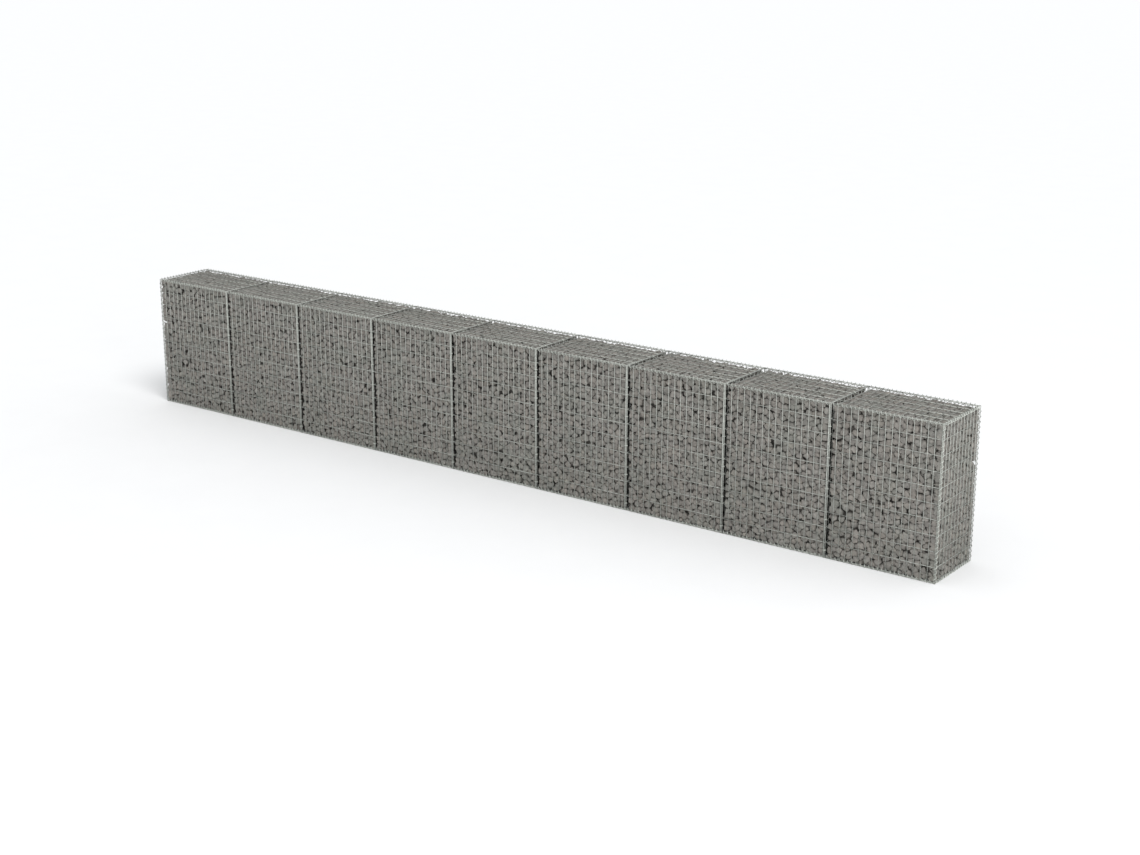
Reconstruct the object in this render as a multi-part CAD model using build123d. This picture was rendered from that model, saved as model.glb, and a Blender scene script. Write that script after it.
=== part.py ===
from build123d import *

import os
from math import cos, hypot, radians, sin

# A gabion wall: wire mesh baskets in a row, filled with stone, closed with lids and laced together.
# X runs along the wall, Y from the front face to the back, Z up. The origin is on the ground, under
# the middle of the wall. All lengths are in millimetres.

# The wall, in bays that are counted from joint to joint
BAY_COUNT = 9
BAY_LENGTH = 750.0
WALL_DEPTH = 500.0
WALL_HEIGHT = 1000.0

# The welded mesh: close line wires on the outside, wide cross wires behind them
WIRE = 4.0
LINE_PITCH = 46.25
CROSS_PITCH = 100.0
HIDDEN_PITCH = 185.0
CROSSING_CLEARANCE = 0.2

# The lacing wire that winds up each corner of the wall
LACING_WIRE = 3.8
LACING_CLEARANCE = 0.2
TURNS_PER_SPACE = 3
SIDES_PER_TURN = 6

# How far the stones stay from the meshes that part the baskets, and from those that end the wall
PARTITION_GAP = 20.0
END_GAP = 12.0

# Sizes that follow from those
PANEL_THICKNESS = 2 * WIRE
PANEL_LENGTH = BAY_LENGTH - PANEL_THICKNESS
CLEAR_DEPTH = WALL_DEPTH - 2 * PANEL_THICKNESS
CLEAR_HEIGHT = WALL_HEIGHT - 2 * PANEL_THICKNESS
FRONT = -WALL_DEPTH / 2
BACK = WALL_DEPTH / 2


def joint(number):
    """The X of the joint after the bay with this number; joint 0 is the wall's left end."""
    return (number - BAY_COUNT / 2) * BAY_LENGTH


def bay_middle(number):
    """The X of the middle of a bay; the bays are numbered from 1, left to right."""
    return joint(number) - BAY_LENGTH / 2


def space_count(length, pitch):
    """How many equal spaces, about one pitch wide, the wires divide a length into."""
    return max(1, round((length - WIRE) / pitch))


def wire_places(length, pitch):
    """Where the wires between a panel's two edge wires lie, counted from the panel's middle."""
    spaces = space_count(length, pitch)
    return [(length - WIRE) * (i / spaces - 0.5) for i in range(1, spaces)]


def mesh_panel(width, height, line_pitch, cross_pitch):
    """A welded mesh panel that stands on its lower edge, with its outside at Y = 0.

    The edge wires are as thick as both layers and carry the ends of all the others. Between them
    the upright line wires lie outside and the level cross wires inside, a hair apart.
    """
    standing = (Align.CENTER, Align.MIN, Align.MIN)
    layer = WIRE - CROSSING_CLEARANCE / 2
    clear_width = width - 2 * WIRE
    clear_height = height - 2 * WIRE
    edges = Box(width, PANEL_THICKNESS, height, align=standing)
    edges -= Pos(0, 0, WIRE) * Box(clear_width, PANEL_THICKNESS, clear_height, align=standing)
    line_wires = [
        Pos(x, 0, WIRE) * Box(WIRE, layer, clear_height, align=standing)
        for x in wire_places(width, line_pitch)
    ]
    cross_wires = [
        Pos(0, PANEL_THICKNESS - layer, (height - WIRE) / 2 + z)
        * Box(clear_width, layer, WIRE, align=standing)
        for z in wire_places(height, cross_pitch)
    ]
    return edges + line_wires + cross_wires


def corner_spiral(x, y, inward):
    """The lacing wire round the two edge wires that meet at a corner of the wall.

    Its turns have flat sides. Each turn passes inside the corner, in the inward direction, midway
    between two cross wires or a third of a space to one side, so that it clears them all.
    """
    reach = hypot(PANEL_THICKNESS + WIRE, PANEL_THICKNESS) / 2
    radius = (reach + LACING_CLEARANCE + LACING_WIRE / 2) / cos(radians(180 / SIDES_PER_TURN))
    spaces = space_count(WALL_HEIGHT, CROSS_PITCH)
    rise = (WALL_HEIGHT - WIRE) / spaces / TURNS_PER_SPACE
    lowest_pass = (WIRE + rise) / 2
    last_side = (spaces * TURNS_PER_SPACE - 1) * SIDES_PER_TURN

    def point(side):
        turn = side / SIDES_PER_TURN
        angle = inward + radians(360 * turn)
        return Vector(x + radius * cos(angle), y + radius * sin(angle), lowest_pass + rise * turn)

    points = [point(side) for side in range(-1, last_side + 2)]
    start = Plane(origin=points[0], z_dir=points[1] - points[0])
    section = start * RegularPolygon(LACING_WIRE / 2, 3)
    return sweep(section, path=Polyline(*points), transition=Transition.RIGHT)


def stone_fill(number):
    """The mass of stone in one basket, packed against the front, the back, the base and the lid."""
    left = joint(number - 1) + PANEL_THICKNESS / 2
    left += END_GAP if number == 1 else PARTITION_GAP
    right = joint(number) - PANEL_THICKNESS / 2
    right -= END_GAP if number == BAY_COUNT else PARTITION_GAP
    return Pos((left + right) / 2, 0, WALL_HEIGHT / 2) * Box(right - left, CLEAR_DEPTH, CLEAR_HEIGHT)


def write(name, *pieces):
    """Writes the pieces that share a node to parts/NAME.step."""
    solids = [solid for piece in pieces for solid in piece.solids()]
    shape = solids[0] if len(solids) == 1 else Compound(children=solids)
    shape.label = name
    export_step(shape, f"parts/{name}.step")


def main():
    os.makedirs("parts", exist_ok=True)
    bays = range(1, BAY_COUNT + 1)

    side_panel = mesh_panel(PANEL_LENGTH, WALL_HEIGHT, LINE_PITCH, CROSS_PITCH)
    lid = mesh_panel(PANEL_LENGTH, CLEAR_DEPTH, LINE_PITCH, CROSS_PITCH)
    base = mesh_panel(PANEL_LENGTH, CLEAR_DEPTH, HIDDEN_PITCH, HIDDEN_PITCH)
    end_panel = mesh_panel(WALL_DEPTH, WALL_HEIGHT, LINE_PITCH, CROSS_PITCH)
    partition = mesh_panel(WALL_DEPTH, WALL_HEIGHT, HIDDEN_PITCH, HIDDEN_PITCH)

    facing_back = Rot(0, 0, 180)
    facing_left = Rot(0, 0, -90)
    facing_right = Rot(0, 0, 90)
    facing_up = Rot(-90, 0, 0)
    facing_down = Rot(90, 0, 0)
    for number in bays:
        x = bay_middle(number)
        write(f"front_panel_{number}", Pos(x, FRONT, 0) * side_panel)
        write(f"back_panel_{number}", Pos(x, BACK, 0) * facing_back * side_panel)
        write(f"lid_{number}", Pos(x, -CLEAR_DEPTH / 2, WALL_HEIGHT) * facing_up * lid)
        write(f"stone_fill_{number}", stone_fill(number))
    bases = [Pos(bay_middle(number), CLEAR_DEPTH / 2, 0) * facing_down * base for number in bays]
    write("base_panels", *bases)

    half = PANEL_THICKNESS / 2
    write("left_end_panel", Pos(joint(0) - half, 0, 0) * facing_left * end_panel)
    write("right_end_panel", Pos(joint(BAY_COUNT) + half, 0, 0) * facing_right * end_panel)
    partitions = [Pos(joint(n) - half, 0, 0) * facing_left * partition for n in range(1, BAY_COUNT)]
    write("partitions", *partitions)

    spiral_x = joint(BAY_COUNT) - WIRE / 2
    spiral_y = BACK - half
    spirals = [
        corner_spiral(-spiral_x, -spiral_y, radians(45)),
        corner_spiral(spiral_x, -spiral_y, radians(135)),
        corner_spiral(spiral_x, spiral_y, radians(225)),
        corner_spiral(-spiral_x, spiral_y, radians(315)),
    ]
    write("corner_spirals", *spirals)


main()
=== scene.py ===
from itertools import product
from math import atan2, cos, pi, radians, sin

import bmesh
import bpy
import numpy as np
from mathutils import Matrix, Vector
from mathutils.kdtree import KDTree


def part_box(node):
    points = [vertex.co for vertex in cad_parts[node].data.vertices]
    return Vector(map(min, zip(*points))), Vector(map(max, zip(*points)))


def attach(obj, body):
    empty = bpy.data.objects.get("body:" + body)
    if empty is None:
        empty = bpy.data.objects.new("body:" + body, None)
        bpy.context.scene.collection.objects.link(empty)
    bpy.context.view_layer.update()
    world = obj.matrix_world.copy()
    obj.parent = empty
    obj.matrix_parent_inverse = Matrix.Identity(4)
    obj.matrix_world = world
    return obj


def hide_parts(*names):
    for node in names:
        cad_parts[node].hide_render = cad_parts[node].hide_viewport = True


# A gabion wall of wire mesh baskets. The frame gives the place of every panel and of every mass of
# stone. Here the panels get round wires, the baskets get separate stones, the wall's edges get their
# lacing wire and the inner joints get rings. X runs along the wall, Y from the front face to the
# back, Z up, and all lengths are in metres.

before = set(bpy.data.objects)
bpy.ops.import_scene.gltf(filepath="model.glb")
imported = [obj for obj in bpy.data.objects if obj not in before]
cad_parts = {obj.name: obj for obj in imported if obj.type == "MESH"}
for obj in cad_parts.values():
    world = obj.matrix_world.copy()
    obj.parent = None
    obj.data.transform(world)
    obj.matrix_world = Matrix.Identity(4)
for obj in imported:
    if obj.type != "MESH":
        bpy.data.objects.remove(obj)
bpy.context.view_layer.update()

# The mesh, as in the frame
WIRE = 0.004
LINE_PITCH = 0.04625
CROSS_PITCH = 0.100

# The lacing wire, and its coils up the wall's four corners, which go on by a tail at each end
LACING_WIRE = 0.0038
CORNER_LACING_RADIUS = 0.0088
CORNER_TURNS_PER_SPACE = 3
CORNER_TAIL_TURNS = 1 / 6

# How many flat sides stand for the roundness of a wire and for a turn of a coil
WIRE_SIDES = 8
LACING_SIDES = 5
LACING_SIDES_PER_TURN = 12

# The lacing of the wall's level edges
EDGE_LACING_RADIUS = 0.0095
LACING_PITCH = 0.0295
LACING_END_GAP = 0.012

# The rings that tie the meshes together at the inner joints
RING_RADIUS = 0.0098
RING_TURNS = 1.1
RING_SPACING = 0.200

# How bright each kind of wire is drawn, from the zinc's darkest colour at 0 to its lightest at 1.
# Some of this is painted light and shade: the cross wires are a little darker than the line wires
# in front of them, the lid's line wires are painted shade and its cross wires painted light, and the
# wires at the back corners and at the far end are painted shade
LINE_TONE = 0.58
CROSS_TONE = 0.52
STRONG_CROSS_TONE = 0.62
STRONG_CROSS_WIRES = (1, 6)
EDGE_TONE = 0.72
LID_LINE_PAINTED_SHADE_TONE = 0.15
LID_CROSS_PAINTED_LIGHT_TONE = 0.85
EDGE_LACING_TONE = 0.75
LIGHTEST_TONE = 1.0
PAINTED_SHADE_TONE = 0.20

# The stones: the distance between their middles, their height as a share of their width, the gap
# left between two of them, how much larger than its own room each is then made, and how many of its
# neighbours it is cut against
STONE_SPACING = 0.039
STONE_FLATNESS = 0.88
STONE_GAP = 0.0008
STONE_OVERLAP = 1.10
CORNER_OVERLAP = 1.3
NEIGHBOURS = 19
SEED = 11

# How deep the middles of the stones lie at most, how deep the block behind them starts, how near to
# an open side a stone counts as seen, and how close those beside a corner of the wall are drawn to it
LAYER_DEPTH = 0.95 * STONE_SPACING
CORE_DEPTH = 0.8 * STONE_SPACING
SEEN_DEPTH = 1.2 * STONE_SPACING
CORNER_ROOM = 0.45 * STONE_SPACING

# How stones differ: the share that a bulky one takes from a neighbour, the tilt of its outer sides
# and how far these stay back, the flats chipped off it, how sharp its edges are, and its lumps
BULK_SHARE = 0.07
SIDE_TILT = 0.06
MOST_SETBACK = 0.004
LEAST_REACH = 0.008
CHIPS = 4
CHIP_REACH = (0.50, 0.70)
EDGE_SHARPNESS = (12, 24)
LUMPS = 4
LUMP_WAVES = 2.4
LUMP_HEIGHT = 0.025
SHARP_ANGLE = radians(38)

# How far the stones stay behind the wall's outside, and how far they pass the ends of the frame's
# mass of stone towards the next basket
FRONT_INSET = 0.007
BACK_INSET = 0.006
TOP_INSET = 0.011
LEFT_EXCESS = 0.007
RIGHT_EXCESS = 0.013

# Some stones along the top of the back lie lower: by how much at most, and how far in from the back
# and down from the top that is felt
BACK_DROP = 0.014
BACK_SLOPE = 0.030
DROP_HEIGHT = 2 * STONE_SPACING

# How the points in a basket are spread
RELAX_ROUNDS = 3
SAMPLES_PER_POINT = 10

# The sides of a basket, each as an axis and an end of it, and the outward direction of each side of
# a box
LEFT_SIDE = (0, 0)
RIGHT_SIDE = (0, 1)
FRONT_SIDE = (1, 0)
BACK_SIDE = (1, 1)
TOP_SIDE = (2, 1)
SIDE_NORMALS = np.concatenate([-np.eye(3), np.eye(3)])

# A cube's corners, and its faces by the numbers of their corners
CUBE_CORNERS = np.array(list(product((0.0, 1.0), repeat=3)))
CUBE_FACES = np.array([
    (0, 1, 3, 2), (4, 6, 7, 5), (0, 4, 5, 1), (2, 3, 7, 6), (0, 2, 6, 4), (1, 5, 7, 3),
])

# The zinc's darkest and lightest colours, between which each wire's tone, painted shade and light
# included, picks its colour
DARKEST_ZINC = (0.25, 0.256, 0.24)
LIGHTEST_ZINC = (0.60, 0.625, 0.578)

# The studio: the light from all round, the white ground behind the wall, and the floor
SKY_COLOUR = (0.97, 0.985, 1.0)
SKY_STRENGTH = 0.76
WHITE = (1, 1, 1)
FLOOR_REACH = 150.0
FLOOR_DROP = 0.0005

# The camera that took the photograph
PHOTO_WIDTH = 1140
SENSOR_WIDTH = 36.0
FOCAL_PIXELS = 1826.0
CAMERA_HEADING = radians(126.44)
CAMERA_DIP = radians(16.56)
CAMERA_ROLL = radians(0.13)
CAMERA_PLACE = Vector((7.676, -9.744, 4.004))
CAMERA_SIGHT = 500

# The colour sockets of a mix node, by number
MIX_FIRST = 6
MIX_SECOND = 7
MIX_RESULT = 2

X, Y, Z = np.eye(3)


def corners(node):
    """The lowest and the highest corner of a node."""
    low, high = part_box(node)
    return np.array(low), np.array(high)


def middle_x(node):
    low, high = corners(node)
    return (low[0] + high[0]) / 2


# The wall's outside and the joints of its bays, from the frame
BAY_COUNT = sum(node.startswith("lid_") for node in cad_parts)
BAYS = range(1, BAY_COUNT + 1)
FRONT = corners("front_panel_1")[0][1]
BACK = corners("back_panel_1")[1][1]
TOP = corners("back_panel_1")[1][2]
JOINTS = np.linspace(middle_x("left_end_panel"), middle_x("right_end_panel"), BAY_COUNT + 1)


def linked_object(name, data):
    thing = bpy.data.objects.new(name, data)
    bpy.context.scene.collection.objects.link(thing)
    return thing


class Soup:
    """Vertices and faces that are gathered up and then made into one mesh object.

    Each vertex has a tone of three numbers, which its material turns into colour.
    """

    def __init__(self):
        self.vertices = []
        self.corners = []
        self.sizes = []
        self.tones = []
        self.count = 0

    def add(self, vertices, *face_arrays, tone):
        """Adds one shape; each array of faces has one row of vertex numbers for each face."""
        self.vertices.append(vertices)
        self.tones.append(np.broadcast_to(tone, (len(vertices), 3)))
        for faces in face_arrays:
            self.corners.append(faces.ravel() + self.count)
            self.sizes.append(np.full(len(faces), faces.shape[1]))
        self.count += len(vertices)

    def make(self, name, material):
        sizes = np.concatenate(self.sizes)
        vertex_numbers = np.concatenate(self.corners)
        mesh = bpy.data.meshes.new(name)
        mesh.vertices.add(self.count)
        mesh.vertices.foreach_set("co", np.concatenate(self.vertices).astype(np.float32).ravel())
        mesh.loops.add(len(vertex_numbers))
        mesh.loops.foreach_set("vertex_index", vertex_numbers.astype(np.int32))
        mesh.polygons.add(len(sizes))
        mesh.polygons.foreach_set("loop_start", (np.cumsum(sizes) - sizes).astype(np.int32))
        mesh.polygons.foreach_set("use_smooth", np.ones(len(sizes), bool))
        mesh.update(calc_edges=True)
        tone = mesh.attributes.new("tone", "FLOAT_VECTOR", "POINT")
        tone.data.foreach_set("vector", np.concatenate(self.tones).astype(np.float32).ravel())
        mesh.materials.append(material)
        return linked_object(name, mesh)


def add_piece(soup, name, material, slot, *nodes):
    """Makes one piece of the wall, which stands for the nodes, if any are given."""
    piece = soup.make(name, material)
    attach(piece, "root")
    if nodes:
        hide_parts(*nodes)
    return piece


# Wires

def tube_faces(rings, sides):
    """The faces of a tube whose rings of vertices follow each other, without its two ends."""
    ring = np.arange(rings - 1)[:, None] * sides
    side = np.arange(sides)[None, :]
    after = (side + 1) % sides
    quads = np.stack([ring + side, ring + after, ring + sides + after, ring + sides + side], -1)
    return quads.reshape(-1, 4)


def tube(soup, points, directions, outward, radius, sides, tone):
    """A closed round tube through points; the unit directions and outward are those of the points."""
    sideways = np.cross(directions, outward)
    angles = np.arange(sides)[:, None] * 2 * pi / sides
    ring = np.cos(angles) * outward[:, None] + np.sin(angles) * sideways[:, None]
    vertices = (points[:, None] + radius * ring).reshape(-1, 3)
    first = np.arange(sides)[::-1]
    last = np.arange(sides) + (len(points) - 1) * sides
    soup.add(vertices, tube_faces(len(points), sides), np.array([first, last]), tone=(tone, 0, 0))


def straight_wire(soup, start, end, outward, tone):
    points = np.array([start, end])
    directions = np.array([(end - start) / np.linalg.norm(end - start)] * 2)
    tube(soup, points, directions, np.array([outward] * 2), WIRE / 2, WIRE_SIDES, tone)


def coil(soup, start, end, radius, turns, first_angle, across, over, tone):
    """A lacing wire that winds from start to end; angles are from across towards over."""
    steps = round(turns * LACING_SIDES_PER_TURN)
    share = np.linspace(0, 1, steps + 1)[:, None]
    angle = first_angle + 2 * pi * turns * share
    outward = np.cos(angle) * across + np.sin(angle) * over
    around = np.cos(angle) * over - np.sin(angle) * across
    axis = end - start
    points = start + axis * share + radius * outward
    directions = axis + 2 * pi * turns * radius * around
    directions /= np.linalg.norm(directions, axis=1, keepdims=True)
    tube(soup, points, directions, outward, LACING_WIRE / 2, LACING_SIDES, tone)


# Panels

def wire_places(length, pitch):
    """Where the wires of a panel lie along its side, both edge wires included."""
    spaces = max(1, round((length - WIRE) / pitch))
    return [WIRE / 2 + (length - WIRE) * i / spaces for i in range(spaces + 1)]


def upright_panel(soup, corner, along, inward, width, height, edge_tone=EDGE_TONE):
    """The wires of an upright panel: the line wires outside and the cross wires behind them."""
    places = wire_places(width, LINE_PITCH)
    for place in places:
        foot = corner + along * place + inward * (WIRE / 2)
        tone = edge_tone if place in (places[0], places[-1]) else LINE_TONE
        straight_wire(soup, foot, foot + Z * height, inward, tone)
    # The cross wires behind the line wires are painted a little darker, as shade, and two of them are
    # drawn lighter
    for number, place in enumerate(wire_places(height, CROSS_PITCH)):
        end = corner + Z * place + inward * (WIRE * 3 / 2)
        tone = STRONG_CROSS_TONE if number in STRONG_CROSS_WIRES else CROSS_TONE
        straight_wire(soup, end, end + along * width, inward, tone)


def level_panel(soup, corner, inward, width, depth):
    """The wires of a lid or a base, whose line wires run from front to back."""
    # The line wires are painted shade and the cross wires painted light
    for place in wire_places(width, LINE_PITCH):
        foot = corner + X * place + inward * (WIRE / 2)
        straight_wire(soup, foot, foot + Y * depth, inward, LID_LINE_PAINTED_SHADE_TONE)
    for place in wire_places(depth, CROSS_PITCH):
        end = corner + Y * place + inward * (WIRE * 3 / 2)
        straight_wire(soup, end, end + X * width, inward, LID_CROSS_PAINTED_LIGHT_TONE)


def make_bay_panels(number, zinc):
    """The front, the back and the lid of one basket."""
    low, high = corners(f"front_panel_{number}")
    width, _, height = high - low
    front = Soup()
    upright_panel(front, low, X, Y, width, height)
    add_piece(front, f"front_mesh_{number}", zinc, "wire", f"front_panel_{number}")
    low, high = corners(f"back_panel_{number}")
    back = Soup()
    upright_panel(back, np.array([low[0], high[1], low[2]]), X, -Y, width, height)
    add_piece(back, f"back_mesh_{number}", zinc, "wire", f"back_panel_{number}")
    low, high = corners(f"lid_{number}")
    width, depth, _ = high - low
    lid = Soup()
    level_panel(lid, np.array([low[0], low[1], high[2]]), -Z, width, depth)
    add_piece(lid, f"lid_mesh_{number}", zinc, "wire", f"lid_{number}")


def make_bases(zinc):
    """The base panels, which lie on the ground under the lids and are as large."""
    soup = Soup()
    for number in BAYS:
        low, high = corners(f"lid_{number}")
        width, depth, _ = high - low
        level_panel(soup, np.array([low[0], low[1], 0.0]), Z, width, depth)
    add_piece(soup, "base_mesh", zinc, "wire", "base_panels")


def make_end_panels(zinc):
    # The far, left end's edge wires are painted shade
    for side, end, inward, tone in (("left", 0, X, PAINTED_SHADE_TONE), ("right", 1, -X, EDGE_TONE)):
        box = corners(f"{side}_end_panel")
        _, depth, height = box[1] - box[0]
        foot = np.array([box[end][0], box[0][1], box[0][2]])
        soup = Soup()
        upright_panel(soup, foot, Y, inward, depth, height, tone)
        add_piece(soup, f"{side}_end_mesh", zinc, "wire", f"{side}_end_panel")


def make_partitions(zinc):
    soup = Soup()
    for x in JOINTS[1:-1]:
        upright_panel(soup, np.array([x - WIRE, FRONT, 0.0]), Y, X, BACK - FRONT, TOP)
    add_piece(soup, "partition_mesh", zinc, "wire", "partitions")


# Lacing

def make_corner_lacing(zinc):
    """The lacing wires up the wall's four corners, turn for turn as in the frame."""
    passes = round((TOP - WIRE) / CROSS_PITCH) * CORNER_TURNS_PER_SPACE
    rise = (TOP - WIRE) / passes
    turns = passes - 1 + 2 * CORNER_TAIL_TURNS
    end_gap = rise * (0.5 - CORNER_TAIL_TURNS)
    soup = Soup()
    for x_side, y_side in product((-1, 1), repeat=2):
        centre = np.array([x_side * (JOINTS[-1] - WIRE / 2), y_side * (BACK - WIRE), 0.0])
        start = centre + Z * (WIRE / 2 + end_gap)
        end = centre + Z * (TOP - WIRE / 2 - end_gap)
        first_angle = atan2(-y_side, -x_side) - 2 * pi * CORNER_TAIL_TURNS
        # The near front corner's coil keeps the lightest tone; the other three coils are painted shade
        tone = LIGHTEST_TONE if x_side > 0 and y_side < 0 else PAINTED_SHADE_TONE
        coil(soup, start, end, CORNER_LACING_RADIUS, turns, first_angle, X, Y, tone)
    add_piece(soup, "corner_lacing", zinc, "lacing_wire", "corner_spirals")


def lace_edge(soup, start, end, along, across, tone):
    """The lacing wire along a level edge, which stops short of both of the edge's ends."""
    length = (end - start) @ along
    turns = round((length - 2 * LACING_END_GAP) / LACING_PITCH)
    start = start + along * LACING_END_GAP
    end = end - along * LACING_END_GAP
    coil(soup, start, end, EDGE_LACING_RADIUS, turns, 0.0, across, Z, tone)


def make_edge_lacing(zinc):
    """The lacing wires along the top and the bottom of the front, the back and the two ends."""
    heights = {"top": TOP - WIRE, "bottom": EDGE_LACING_RADIUS + LACING_WIRE / 2}
    for name, z in heights.items():
        soup = Soup()
        for left, right in zip(JOINTS, JOINTS[1:]):
            for y in (FRONT + WIRE, BACK - WIRE):
                start = np.array([left, y, z])
                end = np.array([right, y, z])
                lace_edge(soup, start, end, X, Y, EDGE_LACING_TONE)
        # The lacing along the far, left end is painted shade
        for x, tone in ((JOINTS[0], PAINTED_SHADE_TONE), (JOINTS[-1], LIGHTEST_TONE)):
            lace_edge(soup, np.array([x, FRONT, z]), np.array([x, BACK, z]), Y, X, tone)
        add_piece(soup, f"{name}_edge_lacing", zinc, "lacing_wire")


def ring(soup, place, along, over):
    """A ring of a little over one turn, whose ends lie side by side."""
    end = place + along * LACING_WIRE
    coil(soup, place, end, RING_RADIUS, RING_TURNS, 0.0, X, over, LIGHTEST_TONE)


def make_rings(zinc):
    """The rings that tie the meshes together at the joints between the baskets."""
    soup = Soup()
    for x in JOINTS[1:-1]:
        for y in (FRONT + WIRE, BACK - WIRE):
            for z in np.arange(RING_SPACING / 4, TOP, RING_SPACING):
                ring(soup, np.array([x, y, z]), Z, Y)
        for y in np.arange(FRONT + RING_SPACING / 2, BACK, RING_SPACING):
            ring(soup, np.array([x, y, TOP - WIRE]), Y, Z)
    add_piece(soup, "joint_rings", zinc, "lacing_wire")


# Stones

def spread_directions(count, gather):
    """Unit directions in a spiral by the golden angle, and the faces between them.

    They lie closer together towards +Z as gather rises from 1.
    """
    turn = np.arange(count) * pi * (3 - 5 ** 0.5)
    height = 1 - 2 * ((np.arange(count) + 0.5) / count) ** gather
    width = np.sqrt(1 - height ** 2)
    directions = np.stack([width * np.cos(turn), width * np.sin(turn), height], 1)
    shape = bmesh.new()
    for direction in directions:
        shape.verts.new(direction)
    bmesh.ops.convex_hull(shape, input=shape.verts)
    shape.verts.index_update()
    faces = np.array([[vertex.index for vertex in face.verts] for face in shape.faces])
    shape.free()
    return directions, faces


# The corners of a stone that is seen, closest together on the seen side, and of one that is hidden
SEEN_SHAPE = spread_directions(count=28, gather=1.5)
HIDDEN_SHAPE = spread_directions(count=13, gather=1.0)


def turned_to(outward, spin):
    """Rows that turn a direction's +Z to outward, with a spin about it."""
    askew = (0.36, 0.48, 0.80)
    outward = outward / np.linalg.norm(outward)
    across = np.cross(outward, askew)
    across /= np.linalg.norm(across)
    over = np.cross(outward, across)
    return np.array([
        cos(spin) * across + sin(spin) * over,
        cos(spin) * over - sin(spin) * across,
        outward,
    ])


def tree_of(points):
    tree = KDTree(len(points))
    for number, point in enumerate(points):
        tree.insert(point, number)
    tree.balance()
    return tree


def scattered(rng, size, count):
    """Points spread evenly but not regularly through a box, relaxed towards their cells' middles."""
    points = rng.random((count, 3)) * size
    for _ in range(RELAX_ROUNDS):
        tree = tree_of(points)
        samples = rng.random((count * SAMPLES_PER_POINT, 3)) * size
        nearest = np.array([tree.find(sample)[1] for sample in samples])
        sums = np.zeros((count, 3))
        np.add.at(sums, nearest, samples)
        members = np.bincount(nearest, minlength=count)
        points = np.where(members[:, None] > 0, sums / np.maximum(members, 1)[:, None], points)
    return points


def drawn_to_corners(points, size, open_sides):
    """Moves the points beside an upright corner of the wall close to it, so that stones fill it."""
    x_ends = [end for axis, end in open_sides if axis == 0]
    for ends in product(x_ends, (0, 1)):
        corner = np.array(ends) * size[:2]
        inward = 1 - 2 * np.array(ends)
        rooms = abs(points[:, :2] - corner)
        beside = (rooms < SEEN_DEPTH).all(axis=1)
        points[beside, :2] = corner + inward * np.minimum(rooms[beside], CORNER_ROOM)
    return points


def worn_reach(rng, directions, normals, reaches):
    """How far a stone that planes bound reaches in each direction, with worn edges and low lumps."""
    sharpness = rng.uniform(*EDGE_SHARPNESS)
    facing = np.maximum(directions @ normals.T, 0) / reaches
    radius = (facing ** sharpness).sum(1) ** (-1 / sharpness)
    lumps = rng.normal(size=(LUMPS, 3)) * LUMP_WAVES
    phases = rng.random(LUMPS) * 2 * pi
    return radius * (1 + LUMP_HEIGHT * np.sin(directions @ lumps.T + phases).sum(1))


def stone(rng, towards, shares, rooms, seen):
    """The corners of one stone, from its middle, and its faces.

    Planes bound it: one towards each neighbour, one at each side of the basket, and chipped flats.
    towards leads to the neighbours' middles, shares says how far along that its own room goes, and
    rooms are the distances to the basket's sides. seen are the sides where it is seen.
    """
    sides = SIDE_NORMALS + rng.normal(size=SIDE_NORMALS.shape) * SIDE_TILT
    chips = rng.normal(size=(CHIPS, 3))
    normals = np.concatenate([towards, sides, chips])
    normals /= np.linalg.norm(normals, axis=1, keepdims=True)
    setbacks = rng.uniform(0.0, MOST_SETBACK, len(SIDE_NORMALS))
    reaches = np.concatenate([
        np.linalg.norm(towards, axis=1) * shares - STONE_GAP / 2,
        np.maximum(rooms.T.ravel() - setbacks, LEAST_REACH),
        STONE_SPACING * rng.uniform(*CHIP_REACH, CHIPS),
    ])
    directions, faces = SEEN_SHAPE if seen else HIDDEN_SHAPE
    if seen:
        outward = sum(np.eye(3)[axis] * (end * 2 - 1) * rooms[axis, end] for axis, end in seen)
        directions = directions @ turned_to(outward, rng.random() * 2 * pi)
    # Beside an upright corner of the wall a stone is seen both along X and along Y
    at_corner = {0, 1} <= {axis for axis, _ in seen}
    overlap = CORNER_OVERLAP if at_corner else STONE_OVERLAP
    radius = worn_reach(rng, directions, normals, reaches * overlap)
    return directions * radius[:, None], faces


def settled(vertices, high, drop):
    """Lowers a topmost stone along the back, where some lie a little short of the lid."""
    backness = np.maximum(vertices[:, 1] - high[1] + BACK_SLOPE, 0) / BACK_SLOPE
    height = np.maximum(vertices[:, 2] - high[2] + DROP_HEIGHT, 0) / DROP_HEIGHT
    vertices[:, 2] -= drop * backness * height
    return vertices


def stone_tones(rng, vertices, low, high, open_sides):
    """A stone's brightness and tint, and how far each corner lies behind the nearest open side, which the
    material turns into painted shade.
    """
    ends = (low, high)
    depths = [abs(vertices[:, axis] - ends[end][axis]) for axis, end in open_sides]
    tones = np.empty((len(vertices), 3))
    tones[:, :2] = rng.random(2)
    # The third number drives the painted shade in the gaps between the stones
    tones[:, 2] = np.min(depths, axis=0) / STONE_SPACING
    return tones


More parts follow.
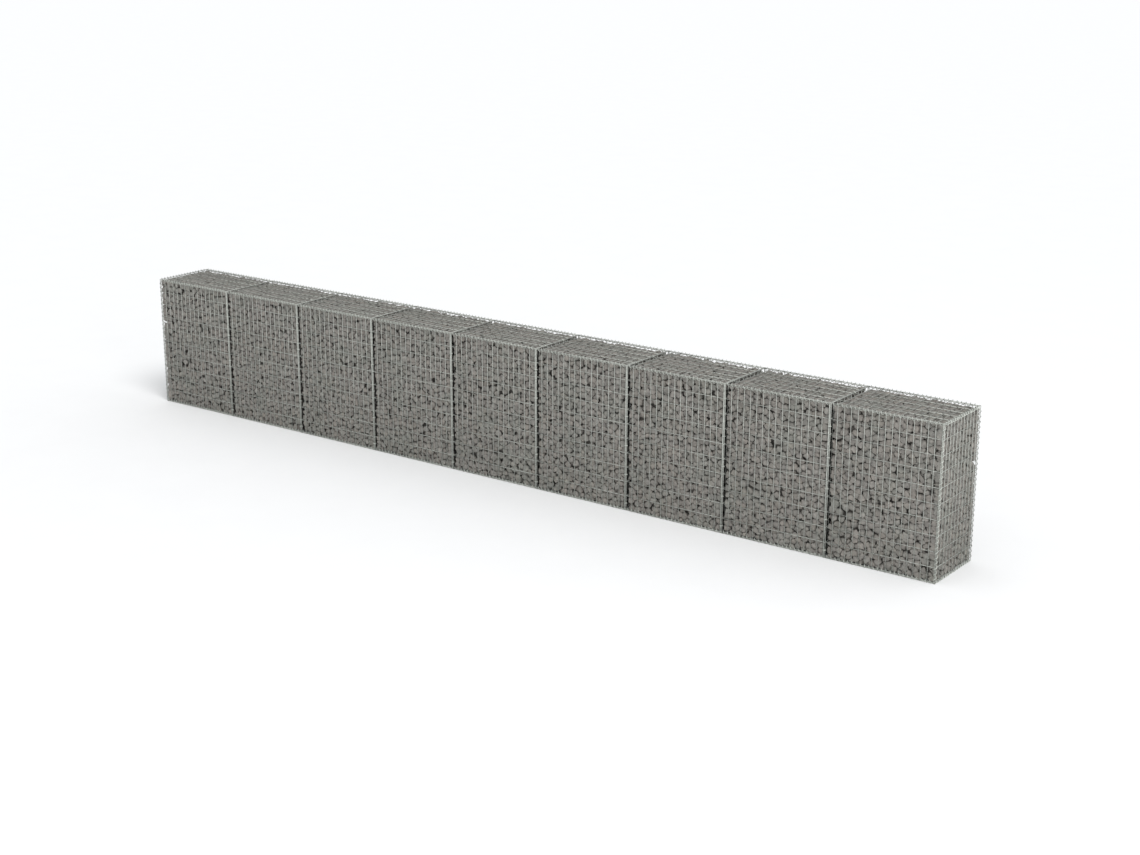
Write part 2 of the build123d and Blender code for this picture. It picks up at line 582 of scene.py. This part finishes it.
def fill_basket(soup, low, high, open_sides, rng):
    """Packs a box with stones. open_sides are the sides where the stones are seen through mesh.

    One layer of stones is laid along every side, round a block that closes the gaps between them.
    What lies deeper can't be seen.
    """
    stretch = np.array([1, 1, 1 / STONE_FLATNESS])
    size = (high - low) * stretch
    count = round(size.prod() / STONE_SPACING ** 3)
    points = drawn_to_corners(scattered(rng, size, count), size, open_sides)
    tree = tree_of(points)
    bulk = rng.uniform(-1, 1, count)
    for number, point in enumerate(points):
        rooms = np.stack([point, size - point], 1)
        if rooms.min() > LAYER_DEPTH:
            continue
        near = [index for _, index, _ in tree.find_n(point, NEIGHBOURS + 1)][1:]
        shares = 0.5 + BULK_SHARE * (bulk[number] - bulk[near])
        seen = [(axis, end) for axis, end in open_sides if rooms[axis, end] < SEEN_DEPTH]
        shape, faces = stone(rng, points[near] - point, shares, rooms, seen)
        vertices = np.clip(point + shape, 0.0, size) / stretch + low
        vertices = settled(vertices, high, rng.random() ** 2 * BACK_DROP)
        soup.add(vertices, faces, tone=stone_tones(rng, vertices, low, high, open_sides))
    # The block's tone puts it at the darkest end of the painted shade, so it shows dark through the gaps
    block = (CUBE_CORNERS * (size - 2 * CORE_DEPTH) + CORE_DEPTH) / stretch + low
    soup.add(block, CUBE_FACES, tone=np.ones(3))


def basket_room(number):
    """The corners of the box that a basket's stones fill, and the sides where they are seen."""
    low, high = corners(f"stone_fill_{number}")
    open_sides = [FRONT_SIDE, BACK_SIDE, TOP_SIDE]
    low[1] = FRONT + FRONT_INSET
    high[1] = BACK - BACK_INSET
    high[2] = TOP - TOP_INSET
    if number == BAYS[0]:
        low[0] = JOINTS[0] + WIRE
        open_sides.append(LEFT_SIDE)
    else:
        low[0] -= LEFT_EXCESS
    if number == BAYS[-1]:
        high[0] = JOINTS[-1] - WIRE
        open_sides.append(RIGHT_SIDE)
    else:
        high[0] += RIGHT_EXCESS
    return low, high, open_sides


def make_stones(number, material):
    """All the stones of one basket."""
    soup = Soup()
    fill_basket(soup, *basket_room(number), np.random.default_rng(SEED + number))
    piece = add_piece(soup, f"stones_{number}", material, "stone", f"stone_fill_{number}")
    piece.data.set_sharp_from_angle(angle=SHARP_ANGLE)


# Materials

def grey(value):
    return (value, value, value)


class Finish:
    """A material, with short ways to add nodes to it."""

    def __init__(self, name):
        self.material = bpy.data.materials.new(name)
        self.material.use_nodes = True
        self.nodes = self.material.node_tree.nodes
        self.links = self.material.node_tree.links
        self.shader = self.nodes["Principled BSDF"]
        self.place = self.nodes.new("ShaderNodeTexCoord").outputs["Object"]

    def give(self, name, value):
        """Sets the shader's input of that name to a number, or links it to a node's output."""
        socket = self.shader.inputs[name]
        if isinstance(value, bpy.types.NodeSocket):
            self.links.new(value, socket)
        else:
            socket.default_value = value

    def tone(self):
        """The three numbers of a vertex's tone."""
        tone = self.nodes.new("ShaderNodeAttribute")
        tone.attribute_name = "tone"
        split = self.nodes.new("ShaderNodeSeparateXYZ")
        self.links.new(tone.outputs["Vector"], split.inputs["Vector"])
        return split.outputs

    def noise(self, scale, detail, roughness=0.55):
        noise = self.nodes.new("ShaderNodeTexNoise")
        noise.inputs["Scale"].default_value = scale
        noise.inputs["Detail"].default_value = detail
        noise.inputs["Roughness"].default_value = roughness
        self.links.new(self.place, noise.inputs["Vector"])
        return noise.outputs["Fac"]

    def ramp(self, source, stops):
        """A colour ramp; stops are (place, colour) pairs."""
        node = self.nodes.new("ShaderNodeValToRGB")
        elements = node.color_ramp.elements
        while len(elements) < len(stops):
            elements.new(position=0.5)
        for element, (place, colour) in zip(elements, stops):
            element.position = place
            element.color = (*colour, 1)
        self.links.new(source, node.inputs["Fac"])
        return node.outputs["Color"]

    def multiplied(self, colour, other, share=1.0):
        """A colour multiplied by another, wholly or by a share."""
        node = self.nodes.new("ShaderNodeMix")
        node.data_type = "RGBA"
        node.blend_type = "MULTIPLY"
        node.inputs["Factor"].default_value = share
        self.links.new(colour, node.inputs[MIX_FIRST])
        self.links.new(other, node.inputs[MIX_SECOND])
        return node.outputs[MIX_RESULT]

    def bump(self, height, strength, distance, under=None):
        node = self.nodes.new("ShaderNodeBump")
        node.inputs["Strength"].default_value = strength
        node.inputs["Distance"].default_value = distance
        self.links.new(height, node.inputs["Height"])
        if under is not None:
            self.links.new(under, node.inputs["Normal"])
        return node.outputs["Normal"]


def stone_colour(finish):
    """A warm grey that differs from stone to stone, under patches, lichen and grain, with painted shade
    that darkens it deep behind the open sides and lightens it a little at the very outside.
    """
    tone = finish.tone()
    colour = finish.ramp(tone["X"], [
        (0.0, (0.219, 0.2065, 0.189)),
        (0.5, (0.236, 0.223, 0.2045)),
        (1.0, (0.254, 0.2415, 0.223)),
    ])
    tint = finish.ramp(tone["Y"], [
        (0.0, (0.98, 1.003, 1.0)),
        (0.5, WHITE),
        (1.0, (1.015, 0.996, 0.975)),
    ])
    # Painted shade: darker the deeper a corner lies behind the open sides, a little lighter at the
    # outside
    depth = finish.ramp(tone["Z"], [
        (0.0, grey(1.07)),
        (0.30, grey(0.96)),
        (0.80, grey(0.48)),
    ])
    patches = finish.ramp(finish.noise(scale=30, detail=5), [
        (0.30, (0.70, 0.70, 0.71)),
        (0.70, (1.28, 1.27, 1.26)),
    ])
    lichen = finish.ramp(finish.noise(scale=5, detail=2), [
        (0.46, WHITE),
        (0.64, (0.955, 0.992, 0.978)),
    ])
    grain = finish.ramp(finish.noise(scale=240, detail=3), [
        (0.33, (0.70, 0.70, 0.72)),
        (0.52, WHITE),
        (0.72, (1.35, 1.34, 1.31)),
    ])
    for layer in (tint, depth, patches, lichen):
        colour = finish.multiplied(colour, layer)
    return finish.multiplied(colour, grain, share=0.6)


def stone_material():
    """Broken quarry stone, rough and matt."""
    finish = Finish("quarry_stone")
    finish.give("Base Color", stone_colour(finish))
    finish.give("Roughness", 0.9)
    finish.give("Specular IOR Level", 0.3)
    hollows = finish.noise(scale=60, detail=6, roughness=0.6)
    coarse = finish.bump(hollows, strength=0.55, distance=0.006)
    pits = finish.noise(scale=320, detail=4)
    finish.give("Normal", finish.bump(pits, strength=0.4, distance=0.0015, under=coarse))
    return finish.material


def zinc_material(name):
    """Hot-dipped zinc on steel wire, from dark to light as its tone says, painted shade and light
    included, with paler and darker runs.
    """
    finish = Finish(name)
    colour = finish.ramp(finish.tone()["X"], [(0.0, DARKEST_ZINC), (1.0, LIGHTEST_ZINC)])
    runs = finish.ramp(finish.noise(scale=90, detail=4), [
        (0.32, grey(0.82)),
        (0.68, grey(1.18)),
    ])
    finish.give("Base Color", finish.multiplied(colour, runs))
    rough = finish.nodes.new("ShaderNodeMapRange")
    rough.inputs["To Min"].default_value = 0.38
    rough.inputs["To Max"].default_value = 0.62
    finish.links.new(finish.noise(scale=350, detail=2), rough.inputs["Value"])
    finish.give("Roughness", rough.outputs["Result"])
    finish.give("Metallic", 0.55)
    finish.give("Normal", finish.bump(finish.noise(scale=700, detail=2), strength=0.2, distance=0.0004))
    return finish.material


def floor_material():
    finish = Finish("floor")
    white = [(0.3, grey(0.945)), (0.7, grey(0.955))]
    finish.give("Base Color", finish.ramp(finish.noise(scale=3, detail=2), white))
    finish.give("Roughness", 1.0)
    finish.give("Specular IOR Level", 0.0)
    return finish.material


# The studio

def make_floor():
    """A white floor, just under the wall's lowest wires."""
    mesh = bpy.data.meshes.new("floor")
    far = FLOOR_REACH
    mesh.from_pydata([(-far, -far, 0), (far, -far, 0), (far, far, 0), (-far, far, 0)], [], [(0, 1, 2, 3)])
    mesh.materials.append(floor_material())
    floor = linked_object("floor", mesh)
    floor.location.z = -FLOOR_DROP


def background(nodes, colour, strength):
    node = nodes.new("ShaderNodeBackground")
    node.inputs["Color"].default_value = (*colour, 1)
    node.inputs["Strength"].default_value = strength
    return node.outputs["Background"]


def make_world():
    """White where it is seen, straight or in a reflection, and elsewhere a cooler, weaker light."""
    world = bpy.data.worlds.new("studio")
    world.use_nodes = True
    bpy.context.scene.world = world
    nodes = world.node_tree.nodes
    links = world.node_tree.links
    nodes.clear()
    rays = nodes.new("ShaderNodeLightPath").outputs
    seen = rays["Is Camera Ray"]
    for kind in ("Is Glossy Ray", "Is Transmission Ray"):
        either = nodes.new("ShaderNodeMath")
        either.operation = "MAXIMUM"
        links.new(seen, either.inputs[0])
        links.new(rays[kind], either.inputs[1])
        seen = either.outputs["Value"]
    mix = nodes.new("ShaderNodeMixShader")
    factor, unseen_light, seen_light = mix.inputs
    links.new(seen, factor)
    links.new(background(nodes, SKY_COLOUR, SKY_STRENGTH), unseen_light)
    links.new(background(nodes, WHITE, 1.0), seen_light)
    output = nodes.new("ShaderNodeOutputWorld")
    links.new(mix.outputs["Shader"], output.inputs["Surface"])


def direction(heading, rise):
    """The unit direction at an angle from +X towards +Y, and at an angle up from level."""
    return Vector((cos(heading) * cos(rise), sin(heading) * cos(rise), sin(rise)))


def make_sun(name, strength, angle, heading, rise):
    """A soft sun that stands in the direction given by heading and rise, in degrees."""
    data = bpy.data.lights.new(name, "SUN")
    data.energy = strength
    data.angle = radians(angle)
    away = direction(radians(heading), radians(rise))
    linked_object(name, data).rotation_euler = away.to_track_quat("Z", "Y").to_euler()


def make_softbox(name, power, size, place, target):
    """A square lamp that lights the near end of the wall more than the far end."""
    data = bpy.data.lights.new(name, "AREA")
    data.energy = power
    data.size = size
    lamp = linked_object(name, data)
    lamp.location = place
    lamp.rotation_euler = (Vector(place) - Vector(target)).to_track_quat("Z", "Y").to_euler()


def make_camera():
    data = bpy.data.cameras.new("camera")
    data.sensor_width = SENSOR_WIDTH
    data.lens = FOCAL_PIXELS * SENSOR_WIDTH / PHOTO_WIDTH
    data.clip_end = CAMERA_SIGHT
    camera = linked_object("camera", data)
    forward = direction(CAMERA_HEADING, -CAMERA_DIP)
    right = Vector((sin(CAMERA_HEADING), -cos(CAMERA_HEADING), 0))
    up = right.cross(forward)
    rolled_right = cos(CAMERA_ROLL) * right + sin(CAMERA_ROLL) * up
    rolled_up = cos(CAMERA_ROLL) * up - sin(CAMERA_ROLL) * right
    turn = Matrix((rolled_right, rolled_up, -forward)).transposed()
    camera.matrix_world = turn.to_4x4()
    camera.location = CAMERA_PLACE
    bpy.context.scene.camera = camera


mesh_zinc = zinc_material("mesh_zinc")
lacing_zinc = zinc_material("lacing_zinc")
quarry_stone = stone_material()
for bay in BAYS:
    make_bay_panels(bay, mesh_zinc)
make_bases(mesh_zinc)
make_end_panels(mesh_zinc)
make_partitions(mesh_zinc)
make_corner_lacing(lacing_zinc)
make_edge_lacing(lacing_zinc)
make_rings(lacing_zinc)
for bay in BAYS:
    make_stones(bay, quarry_stone)
make_floor()
make_world()
make_sun("key", strength=1.22, angle=25, heading=-25, rise=50)
make_softbox("softbox", power=112, size=3.0, place=(8.5, -5.5, 5.0), target=(3.4, -0.25, 0.5))
make_camera()

bpy.context.scene.view_settings.view_transform = "Standard"
